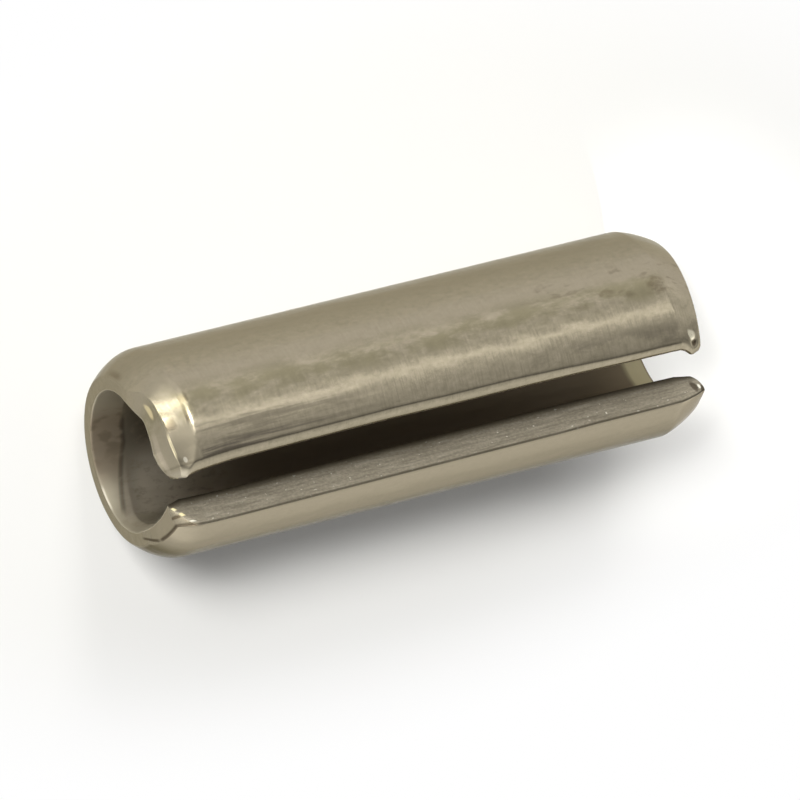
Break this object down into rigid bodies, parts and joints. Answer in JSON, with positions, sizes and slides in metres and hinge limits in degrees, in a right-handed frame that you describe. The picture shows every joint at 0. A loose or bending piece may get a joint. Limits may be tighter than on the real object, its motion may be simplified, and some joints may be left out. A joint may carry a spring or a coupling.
{
  "type": "spring roll pin",
  "caption": "Slotted spring pin: metal strip rolled into an open tube with a lengthwise slot and tapered noses, driven into a hole where it springs back and grips.",
  "frame": {"origin": "on the pin's axis at the middle of its length", "axes": "+X along the axis towards the end with the short nose, +Z through the middle of the slot, +Y sideways, so the pin lies on its side with the slot up"},
  "size_m": [0.019, 0.0066, 0.0065],
  "materials": {
    "stainless": "satin rolled stainless steel with fine lines round and along the pin, faint olive stains, duller sheared faces and a dark bore"
  },
  "bodies": {
    "root": {"spring_pin": "stainless"}
  },
  "joints": []
}
